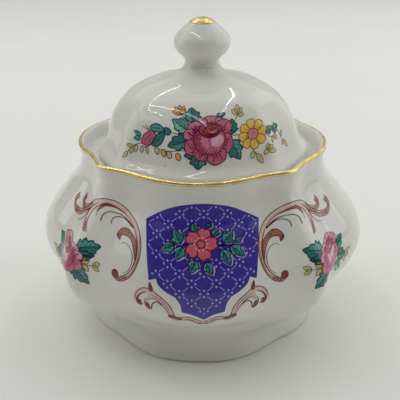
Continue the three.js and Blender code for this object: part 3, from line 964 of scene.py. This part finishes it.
def scroll(t):
    """A C-scroll: a pale band between pen lines, with hair lines, a curled leaf and a ball end."""
    outer, inner = smooth_rows(SCROLL_OUTER, 0.6), smooth_rows(SCROLL_INNER, 0.6)
    t.fill([*outer, *inner[::-1]], "scroll_light", 0)
    t.ribbon(outer, 0.3, "scroll_line", 2, swell=(0.5, 1, 1, 1, 1))
    t.ribbon(inner, 0.85, "scroll_dark", 2, swell=(0.3, 1.4, 0.7, 0.35, 0.35, 0.7, 0.7, 0.35, 0.3))
    t.stroke([(-39.4, 8.4), (-38.4, 10.6), (-36.0, 12.4)], 0.26, "scroll_line", 2)
    middle = [(-21.0, 6.0), (-20.9, 2.6), (-21.2, -0.6), (-22.2, -3.4), (-24.0, -6.2), (-26.4, -8.0)]
    t.stroke(middle, 0.24, "scroll_line", 3)
    arcs = [
        [(-37.4, 7.4), (-36.5, 9.5), (-34.6, 10.8), (-31.4, 11.1), (-27.4, 10.3), (-23.8, 8.0)],
        [(-33.4, 7.2), (-32.8, 8.9), (-31.0, 9.9), (-28.0, 10.0), (-24.2, 8.3)],
    ]
    for line in arcs:
        t.stroke(line, 0.34, "scroll_line", 2, swell=(1, 0.8, 0.8, 1.2, 1.8))
    hair = [
        (-28.6, 1.9), (-27.3, 2.6), (-25.5, 2.2), (-24.0, 0.8),
        (-23.4, -1.4), (-24.0, -3.9), (-25.4, -5.7), (-27.0, -6.6),
    ]
    t.stroke(hair, 0.3, "scroll_line", 2)
    curl = [
        (-29.3, 3.0), (-30.6, 4.2), (-30.0, 5.5), (-28.3, 6.9), (-26.0, 7.2), (-24.1, 6.2), (-22.4, 4.4),
        (-21.8, 1.0), (-22.4, -1.6), (-23.2, 1.6), (-24.8, 4.4), (-27.4, 5.0), (-29.0, 4.4),
    ]
    t.outlined(smooth_rows(curl, 0.5, True), "scroll_stipple", "scroll_line", 2, 0.24)
    t.disc((-29.7, 4.2), 0.8, "scroll_dark", 4, 10)
    t.stroke([(-25.4, -7.4), (-27.6, -8.6), (-29.8, -8.9)], 1.5, "scroll_stipple", 3, swell=(0.3, 1, 1))
    t.outlined(oval((-30.4, -7.7), 1.35, 1.25), "scroll_dark", "scroll_line", 4, 0.25)
    plumes = [
        [(-50.3, 11.3), (-52.0, 9.4), (-50.4, 8.2), (-46.0, 9.2), (-41.8, 11.7)],
        [(-56.6, 9.6), (-58.8, 7.4), (-57.8, 5.4), (-52.0, 5.7), (-46.2, 8.5), (-42.4, 11.1)],
    ]
    for line in plumes:
        band = smooth_rows(line, 0.6)
        t.ribbon(band, 1.9, "scroll_light", 0, swell=(0.7, 1, 1, 0.9, 0.5))
        t.ribbon(band, 1.1, "scroll_stipple", 2, swell=(1.6, 1.6, 0.8, 0.4, 0.3))
        pen_pair(t, band, (0.1, 0.9))
    low = [(-53.0, 3.4), (-50.0, 3.9), (-46.4, 6.0), (-43.4, 9.3), (-41.2, 11.7)]
    t.stroke(low, 0.26, "scroll_line", 2)
    drop = smooth_rows([(-43.6, 2.6), (-43.8, 5.8), (-42.6, 8.9), (-40.7, 11.1), (-37.8, 13.0)], 0.6)
    t.ribbon(drop, 1.9, "scroll_light", 0, swell=(0.6, 1, 0.9, 0.7))
    t.ribbon(drop[:8], 1.2, "scroll_stipple", 2, swell=(0.6, 1.3, 0.4))
    pen_pair(t, drop, (-0.9, 0))


def side_spray(t):
    """A rose among leaves on the ridge between two panels."""
    t.stroke([(-46.4, -7.2), (-43.6, -7.9), (-39.0, -7.4)], 0.28, "brown_line", 0)
    leaf(t, (-46.2, -3.4), (-36.9, -0.9), 2.7, teeth=4)
    leaf(t, (-46.4, -5.6), (-39.2, -4.3), 1.6, "teal_dark", "teal")
    leaf(t, (-47.8, -8.6), (-41.4, -14.4), 2.5, teeth=4)
    leaf(t, (-58.8, -7.6), (-63.6, -4.2), 2.1)
    leaf(t, (-59.0, -9.6), (-65.6, -11.2), 2.1)
    leaf(t, (-57.2, -11.6), (-61.8, -15.8), 2.0, "teal_light", "frost_leaf")
    sprigs = [
        ((-43.8, -7.6), 1.0, [(-41.0, -5.6), (-41.4, -9.8), (-45.0, -9.9)]),
        ((-40.0, -7.5), 0.8, [(-37.0, -6.4), (-37.4, -8.9)]),
        ((-64.4, -11.6), 0.9, [(-68.4, -12.6), (-65.6, -14.6), (-69.6, -10.4)]),
    ]
    for base, half, tips in sprigs:
        for tip in tips:
            leaflet(t, base, tip, half)
    t.stroke([(-59.4, -10.2), (-64.4, -11.6)], 0.28, "brown_line", 0)
    # The side rose takes the paler palette, which paints in the sheen of the glaze.
    rose(t, (-51.4, -6.4), 0.74, -1.35, inks=ROSE_PALED_BY_SHEEN)


def mirrored(shift):
    """The printed right half: a mirror image set a little closer in, as on the real bowl."""
    def place(points):
        out = np.array(points, float)
        out[:, 0] = shift - MIRROR_SHARE * out[:, 0]
        return out
    return place


def print_transfer(name, drawing, skin, turn, body, slot, place=unchanged):
    film = Transfer(skin, turn, place)
    drawing(film)
    film.build(name, body)


MIRROR_SHARE = 0.97
ON_LID = ("lid", "lid_porcelain")
ON_BOWL = ("bowl", "bowl_porcelain")
SIDE_DRAWINGS = [("scroll", scroll, -1.2), ("bracket", bracket, 0.2), ("rose_spray", side_spray, -1.2)]

body_skin = Skin(body_rows, 45.0)
lid_skin = Skin(lid_rows, 77.0)
for face, turn in (("front_", DECOR_TURN), ("back_", DECOR_TURN + math.pi)):
    print_transfer(face + "lid_spray", lid_spray, lid_skin, turn, *ON_LID)
    print_transfer(face + "trellis_shield", shield, body_skin, turn, *ON_BOWL)
    print_transfer(face + "shield_flower", shield_flower, body_skin, turn, *ON_BOWL)
    for side in ("left_", "right_"):
        for label, drawing, shift in SIDE_DRAWINGS:
            place = unchanged if side == "left_" else mirrored(shift)
            print_transfer(face + side + label, drawing, body_skin, turn, *ON_BOWL, place)


# ---- stage, light, camera
def cove(name, flat, bend, height, sides=96, flat_rings=12, bend_rings=16):
    """A round paper sweep: a flat floor that turns up into a wall on every side, in metres."""
    outline = [(flat * k / flat_rings, 0.0) for k in range(1, flat_rings + 1)]
    for k in range(1, bend_rings + 1):
        t = math.pi / 2 * k / bend_rings
        outline.append((flat + bend * math.sin(t), bend * (1 - math.cos(t))))
    outline.append((flat + bend, height))
    verts, faces = [(0, 0, 0)], []
    for r, z in outline:
        for i in range(sides):
            t = 2 * math.pi * i / sides
            verts.append((r * math.cos(t), r * math.sin(t), z))
    for i in range(sides):
        j = (i + 1) % sides
        faces.append((0, 1 + i, 1 + j))
        for k in range(len(outline) - 1):
            low, high = 1 + k * sides, 1 + (k + 1) * sides
            faces.append((low + i, high + i, high + j, low + j))
    return make_mesh(name, verts, faces)


def pale_paper():
    mat, tree, shader = new_material("pale_paper")
    tint = ramp(tree, noise(tree, 8, 2), [(0.3, (0.92, 0.92, 0.89, 1)), (0.7, (0.945, 0.945, 0.915, 1))])
    tree.links.new(tint, shader.inputs["Base Color"])
    shader.inputs["Roughness"].default_value = 0.7
    return mat


floor = cove("studio_floor", 1.4, 0.6, 1.6)
floor.data.materials.append(pale_paper())


STRIP_HEIGHT = 0.9


def area(name, at, size, power, to=(0, 0, 0.05), colour=(1, 1, 1)):
    """A rectangular lamp that faces the bowl's middle or another point; metres and watts."""
    light = bpy.data.lights.new(name, "AREA")
    light.shape = "RECTANGLE"
    light.size, light.size_y = size
    light.energy = power
    light.color = colour
    lamp = bpy.data.objects.new(name, light)
    lamp.location = at
    lamp.rotation_euler = (Vector(to) - Vector(at)).to_track_quat("-Z", "Y").to_euler()
    bpy.context.scene.collection.objects.link(lamp)
    return lamp


def strip(name, x, y, size, power, twist):
    """A thin lamp that faces straight down, twisted in plan."""
    lamp = area(name, (x, y, STRIP_HEIGHT), size, power, to=(x, y, 0))
    lamp.rotation_euler = (0, 0, twist)


area("overhead_box", (0.0, 0.15, 1.0), (2.0, 1.6), 4.4, to=(0, 0.15, 0.03), colour=(1.0, 1.0, 0.98))
area("back_box", (0.0, 0.6, 0.75), (1.4, 0.8), 1.95)
area("left_box", (-0.8, 0.1, 0.45), (0.7, 0.8), 1.65)
area("right_box", (0.8, 0.1, 0.45), (0.7, 0.8), 1.8)
area("right_back_box", (0.6, 0.6, 0.3), (0.6, 0.6), 0.55)
area("backdrop_glow", (0.0, 0.9, 0.25), (1.6, 0.5), 0.55)
# The lamp strips round the light box's opening, which the lid mirrors as thin lines.
area("front_strip", (-0.19, -0.18, STRIP_HEIGHT), (0.98, 0.030), 0.85, to=(0, 0, 0.09))
strip("left_strip", -0.46, 0.375, (0.011, 1.23), 0.5, -0.365)
strip("right_strip", 0.24, 0.36, (0.010, 1.10), 0.42, 0.14)

world = bpy.data.worlds.new("studio")
bpy.context.scene.world = world
world.use_nodes = True
sky = world.node_tree.nodes["Background"]
sky.inputs["Color"].default_value = (1.0, 0.985, 0.95, 1)
sky.inputs["Strength"].default_value = 0.02

# The camera stands off the front panel's middle and looks down at the bowl; metres and degrees.
CAMERA_AWAY, CAMERA_UP = 0.250, 0.1525
CAMERA_ROUND, CAMERA_DOWN, CAMERA_ASIDE = 3.5, 23.70, 0.17
camera_data = bpy.data.cameras.new("camera")
camera_data.lens = 66.15
camera_data.sensor_width = 36
camera_data.clip_start = 0.01
camera = bpy.data.objects.new("camera", camera_data)
bearing = math.radians(CAMERA_ROUND)
camera.location = (CAMERA_AWAY * math.sin(bearing), -CAMERA_AWAY * math.cos(bearing), CAMERA_UP)
camera.rotation_euler = (math.radians(90 - CAMERA_DOWN), 0, bearing + math.radians(CAMERA_ASIDE))
bpy.context.scene.collection.objects.link(camera)
bpy.context.scene.camera = camera

settings = bpy.context.scene.view_settings
settings.view_transform = "Standard"
settings.look = "None"
